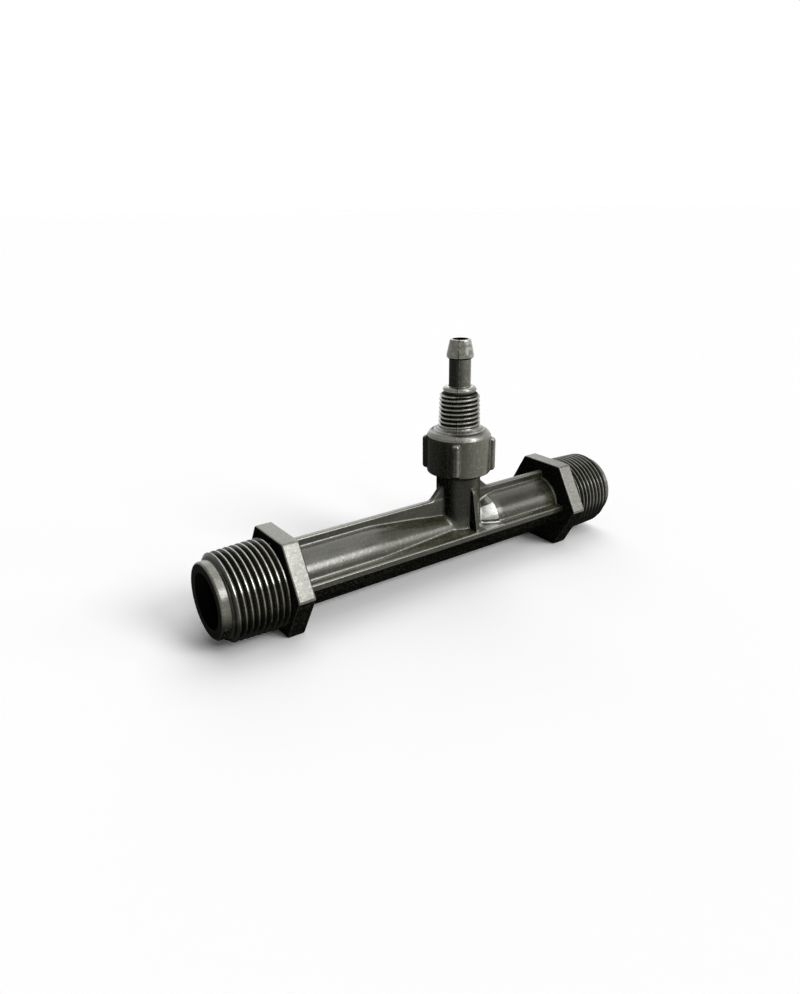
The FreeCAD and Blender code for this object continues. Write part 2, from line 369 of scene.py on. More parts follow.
def barrelSkin():
    bands = [(-48.5, 0.5, 4.5), (28.0, 48.5, 4.0)]  # start, end, and how much coarser
    tree = skinTree("barrelSkin", barrel, barrelDistance(barrel), bands)
    # the grid reaches just past the skin on every side
    reach = {"lowest": (-52.3, -12.9, 1.8), "highest": (52.3, 12.9, bodyHigh.z + 0.6), "cell": 0.32}
    return grow("barrelSkin", tree, {**barrel, **reach})


# Turned shapes and threads

def rounding(before, point, after, radius):
    # The points of the arc that rounds a corner of an outline
    steps = 5
    back = (before - point).normalized()
    on = (after - point).normalized()
    half = back.angle(on) / 2
    centre = point + (back + on).normalized() * (radius / math.sin(half))
    first = point + back * (radius / math.tan(half)) - centre
    last = point + on * (radius / math.tan(half)) - centre
    sweep = first.angle_signed(last)
    return [centre + Matrix.Rotation(-sweep * i / steps, 2) @ first for i in range(steps + 1)]


def turned(name, outline, segments=96):
    # A solid of revolution about Z. Outline points are (radius, height); a third value rounds that corner.
    places = [Vector(point[:2]) for point in outline]
    rim = []
    for i, point in enumerate(outline):
        if len(point) > 2:
            rim += rounding(places[i - 1], places[i], places[(i + 1) % len(places)], point[2])
        else:
            rim.append(places[i])
    shape = bmesh.new()
    rings = []
    for radius, height in rim:
        if radius < 1e-6:
            rings.append([shape.verts.new((0, 0, height))])
            continue
        turns = (2 * math.pi * j / segments for j in range(segments))
        rings.append([shape.verts.new((radius * math.cos(a), radius * math.sin(a), height)) for a in turns])
    loops = list(zip(rings, rings[1:]))
    if len(rings[0]) > 1:
        loops.append((rings[-1], rings[0]))
    for lower, upper in loops:
        for j in range(segments):
            k = (j + 1) % segments
            corners = [lower[j % len(lower)], lower[k % len(lower)]]
            corners += [upper[k % len(upper)], upper[j % len(upper)]]
            corners = list(dict.fromkeys(corners))  # a point on the axis counts once
            if len(corners) > 2:
                shape.faces.new(corners)
    mesh = bpy.data.meshes.new(name)
    shape.to_mesh(mesh)
    shape.free()
    return mesh


upToAlong = Matrix.Rotation(math.pi / 2, 4, "Y")
alongToUp = Matrix.Rotation(-math.pi / 2, 4, "Y")
aboutSuction = Matrix.Translation((suctionX, 0, axisZ))
aboutFlow = Matrix.Translation((0, 0, axisZ))


def shifted(mesh, *moves):
    for move in moves:
        mesh.transform(move)
    return mesh


# The slopes run a thread out at its two ends, and lag is the share of a turn by which it starts later
threadInputs = {
    "length": 10.0,
    "pitch": 1.8,
    "crest": 13.0,
    "depth": 1.4,
    "taper": 0.0,
    "floor": 11.0,
    "startSlope": 4.0,
    "endSlope": 2.0,
    "crestFlat": 0.2,
    "rootFlat": 0.06,
    "lag": 0.0,
    "rows": 100,
    "rowsPerTurn": 14.0,
    "segments": 96,
}


def threadTree():
    # A right-hand thread on a solid core along +X. Its rows follow the helix, so crests and roots stay crisp.
    plan, g = geometryPlan("threadCore", {**threadInputs, "material": blankMaterial})
    grid = plan.add(
        "GeometryNodeMeshGrid",
        links={
            "Size X": g["segments"] * 1.0,
            "Size Y": g["rows"] + 2.0,
            "Vertices X": g["segments"] + 1,
            "Vertices Y": g["rows"] + 3,
        },
    )
    column, row, _ = plan.split(plan.add("GeometryNodeInputPosition"))
    turn = ((column + g["segments"] / 2) / g["segments"]).math("SNAP", 1e-5)
    row = (row + (g["rows"] + 2) / 2).math("ROUND") - 1
    count = row / g["rowsPerTurn"]
    # rows lie closer together at crests and roots
    gathered = count - (count * 4 * math.pi).math("SINE") * (0.75 / (4 * math.pi))
    along = ((gathered + turn - 1 - g["lag"]) * g["pitch"]).within(0, g["length"])
    wave = 1 - abs(gathered.math("FRACT") * 2 - 1)
    flank = ((wave - g["rootFlat"]) / (1 - g["rootFlat"] - g["crestFlat"])).within(0, 1)
    soft = flank.fade(0.0, 1.0)
    ridge = flank * 0.6 + soft * 0.4
    radius = g["crest"] - along * g["taper"] - g["depth"] * (1 - ridge)
    radius = radius.low(g["floor"] + along * g["startSlope"])
    radius = radius.low(g["floor"] + (g["length"] - along) * g["endSlope"])
    inside = row.math("GREATER_THAN", -0.5) * (row + 0.5).math("LESS_THAN", g["rows"] + 1)
    radius = radius * inside
    angle = turn * 2 * math.pi
    point = plan.join(along, radius * angle.math("COSINE"), radius * angle.math("SINE"))
    mesh = plan.add("GeometryNodeSetPosition", links={"Geometry": grid, "Position": point})
    mesh = plan.add("GeometryNodeMergeByDistance", links={"Geometry": mesh, "Distance": 0.002})
    mesh = plan.add("GeometryNodeRealizeInstances", links={0: mesh})
    mesh = plan.add("GeometryNodeSetMaterial", links={"Geometry": mesh, "Material": g["material"]})
    return finishPlan(plan, mesh)


threadMaker = threadTree()


def thread(name, **sizes):
    chosen = {**threadInputs, **sizes}
    # one turn more than the length holds, because the helix starts a turn before it
    turns = chosen["length"] / chosen["pitch"] + chosen["lag"] + 1.1
    chosen["rows"] = math.ceil(chosen["rowsPerTurn"] * turns)
    mesh = grow(name, threadMaker, chosen)
    shape = bmesh.new()
    shape.from_mesh(mesh)
    bmesh.ops.recalc_face_normals(shape, faces=shape.faces)
    if shape.calc_volume(signed=True) < 0:
        bmesh.ops.reverse_faces(shape, faces=shape.faces)
    shape.to_mesh(mesh)
    shape.free()
    return mesh


def fuse(name, base, added=(), removed=()):
    # One closed mesh from several: the added ones are joined on, then the removed ones are cut out
    whole = place(name + "Whole", base)
    tools = []
    for operation, meshes in (("UNION", added), ("DIFFERENCE", removed)):
        for mesh in meshes:
            tool = place(mesh.name, mesh)
            tools.append(tool)
            step = whole.modifiers.new(mesh.name, "BOOLEAN")
            step.solver = "MANIFOLD"
            step.operation = operation
            step.object = tool
    joined = evaluated(whole)
    for tool in tools + [whole]:
        bpy.data.objects.remove(tool)
    return joined


sharpAngle = 50  # edges that turn by more degrees than this stay crisp


def finishPiece(name, mesh, body, node, material):
    # Shades a finished mesh, scales it to metres and sets it in the frame
    mesh.transform(Matrix.Scale(mm, 4))
    mesh.shade_smooth()
    mesh.set_sharp_from_angle(angle=math.radians(sharpAngle))
    rough = place(name + "Rough", mesh)
    even = rough.modifiers.new("even", "WEIGHTED_NORMAL")
    even.keep_sharp = True
    shaded = evaluated(rough)
    bpy.data.objects.remove(rough)
    shaded.materials.clear()
    shaded.materials.append(material)
    piece = place(name, shaded)
    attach(piece, body)
    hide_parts(node)
    return piece


# Threaded ends of the body, and its hexagons

ends = {
    "acrossFlats": 29.4,
    "hexThickness": 5.6,
    "hexEdge": 0.6,
    "spigotLength": 19.65,
    "pilotRadius": 11.2,
    "pilotLength": 2.7,
    "pilotEdge": 0.7,
    "crestAtHex": 13.5,
    "pitch": 1.814,
    "depth": 1.42,
    "taper": 1 / 32,
    "rampSlope": 1.8,
    "buried": 0.4,
    "lag": 0.8,
}


def hexagon(side):
    shape = bmesh.new()
    radius = ends["acrossFlats"] / math.sqrt(3)
    corners = []
    for i in range(6):
        turn = math.radians(60 * i)
        corners.append(shape.verts.new((0, radius * math.cos(turn), radius * math.sin(turn))))
    face = shape.faces.new(corners)
    wall = bmesh.ops.extrude_face_region(shape, geom=[face])
    moved = [v for v in wall["geom"] if isinstance(v, bmesh.types.BMVert)]
    bmesh.ops.translate(shape, verts=moved, vec=(ends["hexThickness"], 0, 0))
    bmesh.ops.recalc_face_normals(shape, faces=shape.faces)
    bmesh.ops.bevel(
        shape, geom=shape.edges[:], offset=ends["hexEdge"], segments=4, profile=0.5, affect="EDGES"
    )
    mesh = bpy.data.meshes.new("hexagon")
    shape.to_mesh(mesh)
    shape.free()
    innerX = barrel["flangeX"] if side > 0 else -barrel["flangeX"] - ends["hexThickness"]
    return shifted(mesh, Matrix.Translation((innerX, 0, axisZ)))


def spigot(side):
    # The threaded core from inside the hexagon outwards, with the smooth pilot at its end
    faceX = endX - ends["spigotLength"]
    below = 0.1  # the thread runs out this far under the pilot's surface
    threadLength = ends["spigotLength"] - ends["pilotLength"] + below / ends["rampSlope"] + ends["buried"]
    screw = thread(
        "pipeThread",
        length=threadLength,
        pitch=ends["pitch"],
        crest=ends["crestAtHex"],
        depth=ends["depth"],
        taper=ends["taper"],
        floor=ends["pilotRadius"] - below,
        startSlope=8.0,
        endSlope=ends["rampSlope"],
        lag=ends["lag"],
    )
    shifted(screw, Matrix.Translation((faceX - ends["buried"], 0, 0)))
    pilot = turned(
        "pilot",
        [
            (0, faceX - ends["buried"] / 2),
            (ends["pilotRadius"], faceX - ends["buried"] / 2),
            (ends["pilotRadius"], endX, ends["pilotEdge"]),
            (0, endX),
        ],
    )
    shifted(pilot, upToAlong)
    turn = Matrix.Rotation(0 if side > 0 else math.pi, 4, "Z")
    return [shifted(mesh, turn, aboutFlow) for mesh in (screw, pilot)]


bore = {
    "radius": 6.31,
    "throatRadius": 3.4,
    "nozzleRadius": 3.0,
    "diffuserRun": 35.8,
    "throatSetback": 0.8,
    "nozzleLand": 1.5,
    "nozzleRun": 20.0,
    "mouthFlare": 2.0,
    "mouthDepth": 3.0,
    "mouthEdge": 1.2,
}


def flowPassage():
    over = 1.0  # how far the tool runs past each end
    flare = bore["radius"] + bore["mouthFlare"] * (1 + over / bore["mouthDepth"])
    throatX = suctionX + bore["throatSetback"]
    mesh = turned(
        "flowPassage",
        [
            (0, -endX - over),
            (flare, -endX - over),
            (bore["radius"], -endX + bore["mouthDepth"], bore["mouthEdge"]),
            (bore["radius"], suctionX - bore["diffuserRun"]),
            (bore["throatRadius"], throatX),
            (bore["nozzleRadius"], throatX),
            (bore["nozzleRadius"], throatX + bore["nozzleLand"]),
            (bore["radius"], suctionX + bore["nozzleRun"]),
            (bore["radius"], endX - bore["mouthDepth"], bore["mouthEdge"]),
            (flare, endX + over),
            (0, endX + over),
        ],
    )
    return shifted(mesh, upToAlong, aboutFlow)


valve = {
    "holeRadius": 2.0,
    "pocketRadius": 3.05,
    "pocketFloor": 16.905,
    "chamberRadius": 4.25,
    "chamberFloor": 20.905,
    "seatRadius": 5.8,
    "seatFloor": 28.694,
}


def valveChamber():
    top = barrel["bossTop"] + 1
    mesh = turned(
        "valveChamber",
        [
            (0, 0),
            (valve["holeRadius"], 0),
            (valve["holeRadius"], valve["pocketFloor"]),
            (valve["pocketRadius"], valve["pocketFloor"]),
            (valve["pocketRadius"], valve["chamberFloor"]),
            (valve["chamberRadius"], valve["chamberFloor"]),
            (valve["chamberRadius"], valve["seatFloor"]),
            (valve["seatRadius"], valve["seatFloor"]),
            (valve["seatRadius"], top),
            (0, top),
        ],
        segments=72,
    )
    return shifted(mesh, aboutSuction)


capThread = {
    "pitch": 2.0,
    "crest": 8.2,
    "depth": 0.65,
    "clearance": 0.15,
    "buried": 0.6,
    "ceiling": 31.0,
}


def bossThread():
    bottom = barrel["landBottom"] - capThread["buried"]
    screw = thread(
        "bossThread",
        length=barrel["bossTop"] - bottom,
        pitch=capThread["pitch"],
        crest=capThread["crest"],
        depth=capThread["depth"],
        floor=barrel["bossRadius"],
        startSlope=1.2,
        endSlope=1.4,
        rootFlat=0.2,
        segments=72,
    )
    return shifted(screw, alongToUp, Matrix.Translation((0, 0, bottom)), aboutSuction)


# Suction cap

cap = {
    "radius": 10.3,
    "bottom": 19.7,
    "edgeHeight": 32.5,
    "skirtTop": 31.95,
    "skirtTopEdge": 0.25,
    "skirtEdge": 0.5,
    "crownStep": 0.14,
    "crownSlope": 30.1,
    "crownEdge": 1.0,
    "crownTop": 34.4,
    "crownBlend": 0.6,
    "baseRadius": 6.4,
    "baseTop": 35.1,
    "baseFillet": 1.4,
    "lugAngle": 44.5,
    "lugWidth": 3.0,
    "lugReach": 11.8,
    "lugRoot": 1.5,
    "lugLow": 20.15,
    "lugLength": 10.9,
    "lugEdge": 1.15,
    "lugFillet": 0.7,
}


def capDistance(sizes):
    plan, g = geometryPlan(
        "capDistance", {"point": Vector(), **sizes}, "distance", "NodeSocketFloat"
    )
    x, y, z = plan.split(g["point"])
    along = x - suctionX
    up = z - axisZ
    fromAxis = hypot(along, y)
    slope = g["crownSlope"].math("RADIANS")
    cone = (up - g["edgeHeight"]) * slope.math("COSINE") + (fromAxis - g["radius"]) * slope.math("SINE")
    cone = cone.softHigh(up - g["crownTop"], g["crownBlend"])
    crown = rounded(fromAxis - g["radius"] + g["crownStep"], cone, g["crownEdge"])
    skirt = rounded(fromAxis - g["radius"], up - g["skirtTop"], g["skirtTopEdge"])
    base = highest(fromAxis - g["baseRadius"], up - g["baseTop"], g["edgeHeight"] - 2 - up)
    shape = crown.low(skirt).softLow(base, g["baseFillet"])
    # the lugs repeat every quarter turn, so one is measured in a folded angle
    folded = y.math("ARCTAN2", along) - g["lugAngle"].math("RADIANS")
    folded = folded.math("WRAP", math.pi / 4, -math.pi / 4)
    outward = fromAxis * folded.math("COSINE") - g["lugReach"]
    sideways = abs(fromAxis * folded.math("SINE")) - g["lugWidth"] / 2
    upDown = abs(up - g["lugLow"] - g["lugLength"] / 2) - g["lugLength"] / 2
    a, b, c = (part + g["lugEdge"] for part in (outward, sideways, upDown))
    lug = hypot(hypot(a.high(0), b.high(0)), c.high(0)) + a.high(b).high(c).low(0) - g["lugEdge"]
    lug = lug.high(g["radius"] - g["lugRoot"] - fromAxis)
    shape = shape.softLow(lug, g["lugFillet"])
    return finishPlan(plan, shape.softHigh(g["bottom"] - up, g["skirtEdge"]))


def capSkin():
    tree = skinTree("capSkin", cap, capDistance(cap), [])
    reach = 12.2
    return grow(
        "capSkin",
        tree,
        {
            **cap,
            "lowest": (suctionX - reach, -reach, axisZ + cap["bottom"] - 0.5),
            "highest": (suctionX + reach, reach, axisZ + cap["baseTop"] + 0.8),
            "cell": 0.25,
        },
    )


port = {
    "start": 34.6,
    "length": 11.2,
    "crest": 6.74,
    "pitch": 1.411,
    "depth": 1.0,
    "taper": 1 / 32,
    "grooveRadius": 4.9,
    "grooveLength": 0.45,
    "collarRadius": 5.35,
    "collarLength": 1.3,
    "collarLowEdge": 0.15,
    "collarEdge": 1.2,
    "stemRadius": 3.45,
    "stemLength": 8.55,
    "stemFillet": 0.35,
    "barbRadius": 4.25,
    "barbBack": 0.6,
    "barbBackEdge": 0.12,
    "barbLand": 0.8,
    "barbLandEdge": 0.3,
    "barbTipRadius": 3.25,
    "barbEdge": 0.5,
    "boreRadius": 2.35,
    "lowerBoreRadius": 3.3,
    "lowerBoreTop": 44.0,
    "boreFunnel": 2.0,
}


def portThread():
    buried = 0.5
    screw = thread(
        "portThread",
        length=port["length"] + buried,
        pitch=port["pitch"],
        crest=port["crest"],
        depth=port["depth"],
        taper=port["taper"],
        floor=port["grooveRadius"] - 0.2,
        startSlope=3.0,
        endSlope=1.6,
        crestFlat=0.3,
        segments=72,
    )
    return shifted(screw, alongToUp, Matrix.Translation((0, 0, port["start"] - buried)), aboutSuction)


def stemAndBarb():
    groove = port["start"] + port["length"]
    collar = groove + port["grooveLength"]
    stem = collar + port["collarLength"]
    back = stem + port["stemLength"] + port["barbBack"]
    top = capHigh.z - axisZ
    mesh = turned(
        "stemAndBarb",
        [
            (0, port["start"]),
            (port["grooveRadius"], port["start"]),
            (port["grooveRadius"], collar),
            (port["collarRadius"], collar, port["collarLowEdge"]),
            (port["collarRadius"], stem, port["collarEdge"]),
            (port["stemRadius"], stem, port["stemFillet"]),
            (port["stemRadius"], back - port["barbBack"]),
            (port["barbRadius"], back, port["barbBackEdge"]),
            (port["barbRadius"], back + port["barbLand"], port["barbLandEdge"]),
            (port["barbTipRadius"], top, port["barbEdge"]),
            (0, top),
        ],
        segments=72,
    )
    return shifted(mesh, aboutSuction)


def capPassage():
    # The tool runs 1 mm past each end
    bottom = capThread["ceiling"] - 1
    top = capHigh.z - axisZ + 1
    mesh = turned(
        "capPassage",
        [
            (0, bottom),
            (port["lowerBoreRadius"], bottom),
            (port["lowerBoreRadius"], port["lowerBoreTop"]),
            (port["boreRadius"], port["lowerBoreTop"] + port["boreFunnel"]),
            (port["boreRadius"], top),
            (0, top),
        ],
        segments=48,
    )
    return shifted(mesh, aboutSuction)


def capSocket():
    # The tool that cuts the cap's own thread: the boss's thread, a clearance larger, in step with it
    bottom = barrel["landBottom"] - capThread["buried"] - 2 * capThread["pitch"]
    screw = thread(
        "capSocket",
        length=capThread["ceiling"] - bottom,
        pitch=capThread["pitch"],
        crest=capThread["crest"] + capThread["clearance"],
        depth=capThread["depth"],
        floor=7.0,
        startSlope=8.0,
        endSlope=8.0,
        rootFlat=0.2,
        segments=72,
    )
    return shifted(screw, alongToUp, Matrix.Translation((0, 0, bottom)), aboutSuction)


# Valve parts under the cap

seal = {"sectionRadius": 1.31, "steps": 28}


def seatRing():
    # A round section, squeezed flat above and below to the height of its box
    section = seal["sectionRadius"]
    middle = Vector(((ringHigh.x - ringLow.x) / 2 - section, (ringLow.z + ringHigh.z) / 2 - axisZ))
    half = (ringHigh.z - ringLow.z) / 2
    rim = []
    for i in range(seal["steps"]):
        turn = 2 * math.pi * i / seal["steps"]
        height = max(-half, min(half, section * math.sin(turn)))
        rim.append((middle.x + section * math.cos(turn), middle.y + height))
    return shifted(turned("seatRing", rim), aboutSuction)


def checkBall():
    centre = (ballLow + ballHigh) / 2
    radius = (ballHigh.z - ballLow.z) / 2
    steps = 32  # from pole to pole
    turns = [math.pi * (i / steps - 0.5) for i in range(steps + 1)]
    rim = [(abs(radius * math.cos(a)), radius * math.sin(a)) for a in turns]
    return shifted(turned("checkBall", rim, segments=64), Matrix.Translation(centre))


spring = {"radius": 2.65, "wire": 0.25, "turns": 5.5, "closedPitch": 0.55, "low": 17.155, "high": 25.081}


def springTree():
    # A coil whose first and last turns lie closed, with a flat cap on each end of the wire
    plan, g = geometryPlan("checkSpring", {**spring, "steps": 264, "material": blankMaterial})
    line = plan.add("GeometryNodeMeshLine", links={"Count": g["steps"]})
    turn = plan.add("GeometryNodeInputIndex") / (g["steps"] - 1) * g["turns"]
    openTurns = g["turns"] - 2
    rise = (g["high"] - g["low"] - g["turns"] * g["closedPitch"]) / openTurns
    height = g["low"] + turn * g["closedPitch"] + (turn - 1).within(0, openTurns) * rise
    angle = turn * 2 * math.pi
    point = plan.join(g["radius"] * angle.math("COSINE"), g["radius"] * angle.math("SINE"), height)
    path = plan.add("GeometryNodeSetPosition", links={"Geometry": line, "Position": point})
    path = plan.add("GeometryNodeMeshToCurve", links={"Mesh": path})
    section = plan.add("GeometryNodeCurvePrimitiveCircle", links={"Resolution": 12, "Radius": g["wire"]})
    coil = plan.add(
        "GeometryNodeCurveToMesh", links={"Curve": path, "Profile Curve": section, "Fill Caps": True}
    )
    coil = plan.add("GeometryNodeRealizeInstances", links={0: coil})
    coil = plan.add("GeometryNodeSetMaterial", links={"Geometry": coil, "Material": g["material"]})
    return finishPlan(plan, coil)


def checkSpring():
    return shifted(grow("checkSpring", springTree(), spring), aboutSuction)


# Materials

def material(name, recipe):
    made = bpy.data.materials.new(name)
    made.use_nodes = True
    made.node_tree.nodes.clear()
    plan = Plan(made.node_tree)
    plan.add("ShaderNodeOutputMaterial", links={"Surface": recipe(plan)})
    return made


class Surface:
    # What a finish can depend on: the place in millimetres, its distance from both axes, and where it faces
    def __init__(self, plan):
        self.plan = plan
        given = plan.add("ShaderNodeTexCoord")
        metres = given.out("Object")
        self.place = plan.add("ShaderNodeVectorMath", {"operation": "SCALE"}, {0: metres, "Scale": 1 / mm})
        self.x, self.y, z = plan.split(self.place)
        self.facingX, self.facingY, self.facingZ = plan.split(given.out("Normal"))
        self.up = z - axisZ
        self.along = self.x - suctionX
        self.fromFlow = hypot(self.y, self.up)
        self.fromSuction = hypot(self.along, self.y)

    def noise(self, scale, detail=2.0, stretch=None):
        place = self.place
        if stretch:
            place = self.plan.add("ShaderNodeVectorMath", {"operation": "MULTIPLY"}, {0: place, 1: stretch})
        return self.plan.add("ShaderNodeTexNoise", links={"Vector": place, "Scale": scale, "Detail": detail})

    def bands(self, value, scale):
        # Noise that changes with one value only, such as rings about an axis
        return self.plan.add("ShaderNodeTexNoise", {"noise_dimensions": "1D"}, {"W": value, "Scale": scale})

    def blend(self, share, first, second):
        first, second = (c if isinstance(c, Field) else (*c, 1) for c in (first, second))
        colours = {"Factor_Float": share, "A_Color": first, "B_Color": second}
        return self.plan.add("ShaderNodeMix", {"data_type": "RGBA"}, colours).out("Result_Color")


def between(value, start, end, edge=0.3):
    # 1 from start to end, with soft edges
    return value.fade(start - edge, start) * (1 - value.fade(end, end + edge))


# Pale metal colours for painted highlights and wear, and dark colours without reflection for painted shade
nylon = {
    "ground": ((0.016, 0.0165, 0.005), (0.068, 0.064, 0.038)),
    "paintedHighlightAndWearColour": ((0.32, 0.32, 0.30), (0.50, 0.50, 0.48)),
    "paintedShadeFinish": ((0.003, 0.003, 0.0025), (0.034, 0.034, 0.027)),
    "roughness": 0.11,
    "paintedShadeRoughness": 0.6,
    "coatRoughness": 0.16,
}


def mouldedBlack(plan, finishMap, streaks):
    # Black nylon: a glossy skin over a mottled ground. The finish map says where it is polished, where
    # painted highlights and some wear make it pale metal, where painted shade dulls it, where it is deep
    # inside and so without speckles, where it is raised a little, and where a painted sheen lies on it.
    at = Surface(plan)
    finish = finishMap(at)
    paintedHighlightAndWear, paintedShade = finish["paintedHighlightAndWear"], finish["paintedShade"]
    grain = at.noise(1.1, 4.0)
    flow = at.noise(0.9, 3.0, streaks)
    waves = at.noise(0.14)
    speckle = at.noise(1.8, 4.0).fade(0.48, 0.74) * (1 - finish["deep"])
    height = grain * 0.8 + flow * 0.3 + waves * 0.3 + finish["raised"]
    bump = plan.add("ShaderNodeBump", links={"Strength": 0.25, "Distance": 0.1 * mm, "Height": height})
    mottle = ((waves * 0.6 + flow * 0.9) * 1.5 - 0.6).within(0, 1)
    nicks = at.noise(1.3, 2.0).fade(0.59, 0.64) * (1 - paintedShade) * 0.35
    # Painted highlights from the finish map, with random nicks of real wear
    paintedHighlightAndWear = (paintedHighlightAndWear * (1.15 - speckle * 0.6).low(1)).high(nicks)
    ground = at.blend(mottle, *nylon["ground"])
    paintedHighlightAndWearColour = at.blend(finish["paintedSheen"], *nylon["paintedHighlightAndWearColour"])
    roughness = mottle * 0.14 + grain * 0.16 + finish["paintedSheen"] * 0.4 + nylon["roughness"]
    gloss = plan.add(
        "ShaderNodeBsdfPrincipled",
        links={
            "Base Color": at.blend(paintedHighlightAndWear, ground, paintedHighlightAndWearColour),
            "Metallic": paintedHighlightAndWear,
            "Roughness": roughness.within(0, 1),
            "Specular IOR Level": 0.9,
            "Specular Tint": (1.0, 1.0, 0.97, 1),
            "Coat Weight": finish["polished"] * (0.7 + speckle * 0.3),
            "Coat IOR": 2.0,
            "Coat Roughness": nylon["coatRoughness"],
            "Normal": bump,
        },
    )
    # Painted shade: a dark finish without reflection
    paintedShadeFinish = plan.add(
        "ShaderNodeBsdfPrincipled",
        links={
            "Base Color": at.blend(speckle, *nylon["paintedShadeFinish"]),
            "Roughness": nylon["paintedShadeRoughness"],
            "Specular IOR Level": 0.0,
            "Normal": bump,
        },
    )
    return plan.add("ShaderNodeMixShader", links={0: paintedShade, 1: gloss, 2: paintedShadeFinish})


def cornerOf(a, b):
    # 1 where both walls end: the rounded edge of a rib, where a painted highlight goes
    return between(a, -0.25, 0.3, 0.3) * between(b, -0.25, 0.3, 0.3)


def bodyFinish(at):
    # Painted shade: a dark finish without reflection on faces square to the flow axis, downward faces, the
    # lower half, the bore and end faces, thread roots, the boss's left side, a band under the cap and the
    # barrel's upper side
    out = abs(at.x)
    side = abs(at.y)
    square = abs(at.facingX)
    halfRib = barrel["ribThickness"] / 2
    innerFace = barrel["flangeX"]
    outerFace = innerFace + ends["hexThickness"]
    pilotStart = endX - ends["pilotLength"]
    ribbed = 1 - out.fade(innerFace - 0.2, innerFace)
    threaded = out.fade(outerFace + 0.1, outerFace + 0.3)
    pilot = out.fade(pilotStart - 0.05, pilotStart + 0.25)
    crest = at.fromFlow - ends["crestAtHex"] + (out - outerFace) * ends["taper"]
    roundAxis = 1 - square.fade(0.3, 0.6)

    # Between the boss and the inlet hexagon the barrel gets a painted highlight: a pale metal patch with a
    # painted shade line at its upper corner and a painted sheen band in it
    patch = between(at.along, 3.5, 11.2, 0.15) * (1 - side.fade(10.9, 11.2)) * at.fromSuction.fade(7.3, 7.7)
    lean = at.up - at.along * 0.3
    band = between(lean, -1.0, 3.5, 0.2).high(1 - at.up.fade(1.3, 1.5))
    shoulder = patch * band * at.up.fade(0.9, 1.05)
    # Painted shade: the dark line in that corner
    corner = patch * between(at.up, 1.5, 2.0, 0.2) * 0.85
    streaks = at.noise(0.9, 2.0, (0.15, 1.0, 1.0)).fade(0.3, 0.6)
    # A painted sheen: the brighter streaked band in the patch
    paintedSheen = shoulder * between(lean, 1.0, 3.5, 0.8) * (0.3 + streaks * 0.7)

    # Painted highlights: that patch, the edges of the ribs and the pilots, and scratches on the hexagons'
    # front flats, real marks kept to the lit flats to brighten them
    upper = cornerOf(side - halfRib, at.up - barrel["ribRadius"])
    outer = cornerOf(abs(at.up) - halfRib, side - barrel["ribRadius"])
    # A painted highlight along the top rib's ridge
    ridge = at.facingZ.fade(0.5, 0.8) * at.up.fade(11.0, 11.3) * (1 - side.fade(0.7, 1.2))
    ribEdgeHighlights = (upper.high(outer) * 0.5).high(ridge * 0.35) * ribbed
    front = between(out, innerFace + 0.1, outerFace - 0.1, 0.1) * (-at.facingY).fade(0.6, 0.8)
    scratches = at.noise(1.6, 5.0, (0.5, 1.6, 0.5)).fade(0.44, 0.60)
    paintedHighlightAndWear = highest(shoulder, ribEdgeHighlights, front * scratches * 0.2, pilot * roundAxis * 0.12)

    # Polished: the crests of the threads, and less so by the hexagons and on the pilots
    fresh = out.fade(outerFace + 0.3, outerFace + 6.3) * 0.7 + 0.3
    polished = (threaded * crest.fade(-0.3, -0.08) * fresh).low(1 - pilot * 0.75) * roundAxis

    onBoss = (1 - at.fromSuction.fade(7.4, 9.5)) * at.up.fade(0.0, 7.0)
    # A painted shadow under the cap's skirt
    shadowUnderCap = between(at.up, cap["bottom"] - 1.5, cap["bottom"] + 1.0, 0.6)
    boreShade = out.fade(51.0, 52.0) * (1 - at.fromFlow.fade(8.2, 8.5))
    endFace = threaded * square.fade(0.75, 0.95)
    towardsInlet = at.x.fade(12.0, 13.0)
    # Painted shade that tones down the highlight on the barrel's upper side
    upperSideShade = between(at.facingZ, 0.65, 0.9, 0.12) * (towardsInlet * 0.15 + 0.42)
    paintedShade = highest(
        square.fade(0.6 - onBoss * 0.45, 0.8 + onBoss * 0.15) * (1 - threaded),
        square.fade(0.93, 0.98) * (threaded * 0.05 + 0.92),
        endFace * 0.6,
        abs(at.facingY).fade(0.9, 0.98) * ribbed * 0.5,  # upright walls
        (-at.facingZ).fade(0.15, 0.45),
        (-at.up).fade(0.9, 1.6) * ribbed,  # the lower half
        boreShade,
        threaded * (1 - pilot) * (-crest).fade(0.5, 1.1) * 0.7,  # thread roots
        threaded * (-at.up).fade(-2.0, 4.0) * 0.9,  # under the threads
        corner,
        onBoss * (0.76 - at.facingX.fade(-0.2, 0.6) * 0.5),
        onBoss * shadowUnderCap * 0.94,
        upperSideShade.high(towardsInlet * 0.28) * ribbed * (1 - patch) * (1 - onBoss),  # the barrel's upper side
    )
    return {
        "polished": polished,
        "paintedHighlightAndWear": paintedHighlightAndWear,
        "paintedShade": paintedShade,
        "deep": boreShade.high(endFace),
        "raised": 0.0,
        "paintedSheen": paintedSheen,
    }


